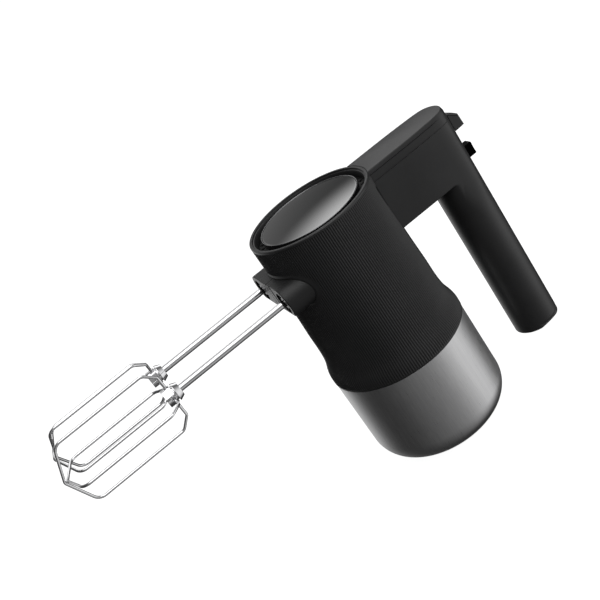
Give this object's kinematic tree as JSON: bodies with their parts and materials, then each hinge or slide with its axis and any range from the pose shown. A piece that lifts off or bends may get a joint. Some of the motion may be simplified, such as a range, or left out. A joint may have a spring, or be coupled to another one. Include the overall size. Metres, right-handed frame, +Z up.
{
  "type": "hand mixer",
  "caption": "Hand mixer with a ribbed barrel body on a rounded steel heel, a side handle, sliding speed selector, eject button and wire beaters on a worm drive.",
  "frame": {"origin": "centre of the heel pad's resting face, on the motor axis", "axes": "+Z up along the motor axis from the heel to the front disc; the beaters point along -X and the handle stands on the +X side; the beaters lie side by side along Y"},
  "size_m": [0.3329, 0.098, 0.183],
  "materials": {
    "ribbed_black": "satin, finely ribbed",
    "handle_black": "satin",
    "cover_grey": "satin",
    "gloss_black": "gloss",
    "brushed_steel": "brushed",
    "polished_trim": "polished",
    "chrome_wire": "polished",
    "selector_grey": "satin",
    "pad_rubber": "matte",
    "screw_steel": "plain",
    "frame_plastic": "moulded",
    "bronze": "sintered",
    "shaft_steel": "ground",
    "lamination": "laminated sheet edges",
    "copper": "enamelled wire",
    "carbon": "sintered carbon",
    "wheel_plastic": "moulded",
    "fan_plastic": "moulded",
    "board_green": "laminate",
    "brass": "plain"
  },
  "bodies": {
    "housing": {"body_shell": "ribbed_black", "steel_shell": "brushed_steel", "heel_pad": "pad_rubber", "rear_mount_ring": "pad_rubber", "shell_screws": "screw_steel", "rim_ring": "handle_black", "front_disc": "gloss_black", "disc_trim": "polished_trim", "nose_block": "handle_black", "front_bushes": "bronze", "arm_left": "handle_black", "arm_right": "handle_black", "grip_tube": "handle_black", "arm_screws": "screw_steel", "arm_cover": "cover_grey", "grip_end_cap": "handle_black", "gearbox_frame": "frame_plastic", "rear_bushes": "bronze", "front_bearing": "bronze", "top_bush": "bronze", "rear_bearing": "bronze", "rear_bracket": "frame_plastic", "field_stator": "lamination", "field_coils": "copper", "brush_holders": "brass", "carbon_brushes": "carbon", "brush_springs": "screw_steel", "control_board": "board_green", "switch_module": "fan_plastic", "detent_leaf": "brass", "eject_spring": "screw_steel"},
    "rotor": {"worm_shaft": "shaft_steel", "armature_core": "lamination", "armature_windings": "copper", "commutator": "copper", "cooling_fan": "fan_plastic"},
    "eject": {"eject_button": "handle_black", "eject_pushrod": "shaft_steel", "eject_yoke": "frame_plastic"},
    "selector": {"speed_selector": "selector_grey"},
    "spindle_left": {"spindle_left": "shaft_steel", "worm_wheel_left": "wheel_plastic", "spindle_rings_left": "screw_steel"},
    "pin_left": {"ejector_pin_left": "shaft_steel"},
    "beater_left": {"beater_shaft_left": "chrome_wire", "beater_hub_left": "chrome_wire", "beater_loop_a_left": "chrome_wire", "beater_loop_b_left": "chrome_wire"},
    "spindle_right": {"spindle_right": "shaft_steel", "worm_wheel_right": "wheel_plastic", "spindle_rings_right": "screw_steel"},
    "pin_right": {"ejector_pin_right": "shaft_steel"},
    "beater_right": {"beater_shaft_right": "chrome_wire", "beater_hub_right": "chrome_wire", "beater_loop_a_right": "chrome_wire", "beater_loop_b_right": "chrome_wire"}
  },
  "joints": [
    {"name": "motor_spin", "type": "hinge", "parent": "housing", "child": "rotor", "pos_m": [0, 0, 0.077], "axis": [0, 0, 1], "continuous": true},
    {"name": "spindle_left_spin", "type": "hinge", "parent": "housing", "child": "spindle_left", "pos_m": [0, -0.0195, 0.1513], "axis": [1, 0, 0], "continuous": true},
    {"name": "spindle_right_spin", "type": "hinge", "parent": "housing", "child": "spindle_right", "pos_m": [0, 0.0195, 0.1513], "axis": [1, 0, 0], "continuous": true},
    {"name": "eject_press", "type": "slide", "parent": "housing", "child": "eject", "axis": [-1, 0, 0], "range_m": [0, 0.0045], "stiffness_N_per_m": 900, "springref_m": -0.004, "deforming": ["eject_spring"]},
    {"name": "pin_left_push", "type": "slide", "parent": "spindle_left", "child": "pin_left", "axis": [-1, 0, 0], "range_m": [0, 0.0045]},
    {"name": "beater_left_pull", "type": "slide", "parent": "pin_left", "child": "beater_left", "axis": [-1, 0, 0], "range_m": [0, 0.04]},
    {"name": "pin_right_push", "type": "slide", "parent": "spindle_right", "child": "pin_right", "axis": [-1, 0, 0], "range_m": [0, 0.0045]},
    {"name": "beater_right_pull", "type": "slide", "parent": "pin_right", "child": "beater_right", "axis": [-1, 0, 0], "range_m": [0, 0.04]},
    {"name": "speed_select", "type": "slide", "parent": "housing", "child": "selector", "axis": [0, 0, -1], "range_m": [0, 0.01]}
  ],
  "couplings": [
    {"joint": "spindle_left_spin", "follows": "motor_spin", "ratio": -0.041667},
    {"joint": "spindle_right_spin", "follows": "motor_spin", "ratio": 0.041667},
    {"joint": "pin_left_push", "follows": "eject_press", "ratio": 1},
    {"joint": "pin_right_push", "follows": "eject_press", "ratio": 1}
  ]
}
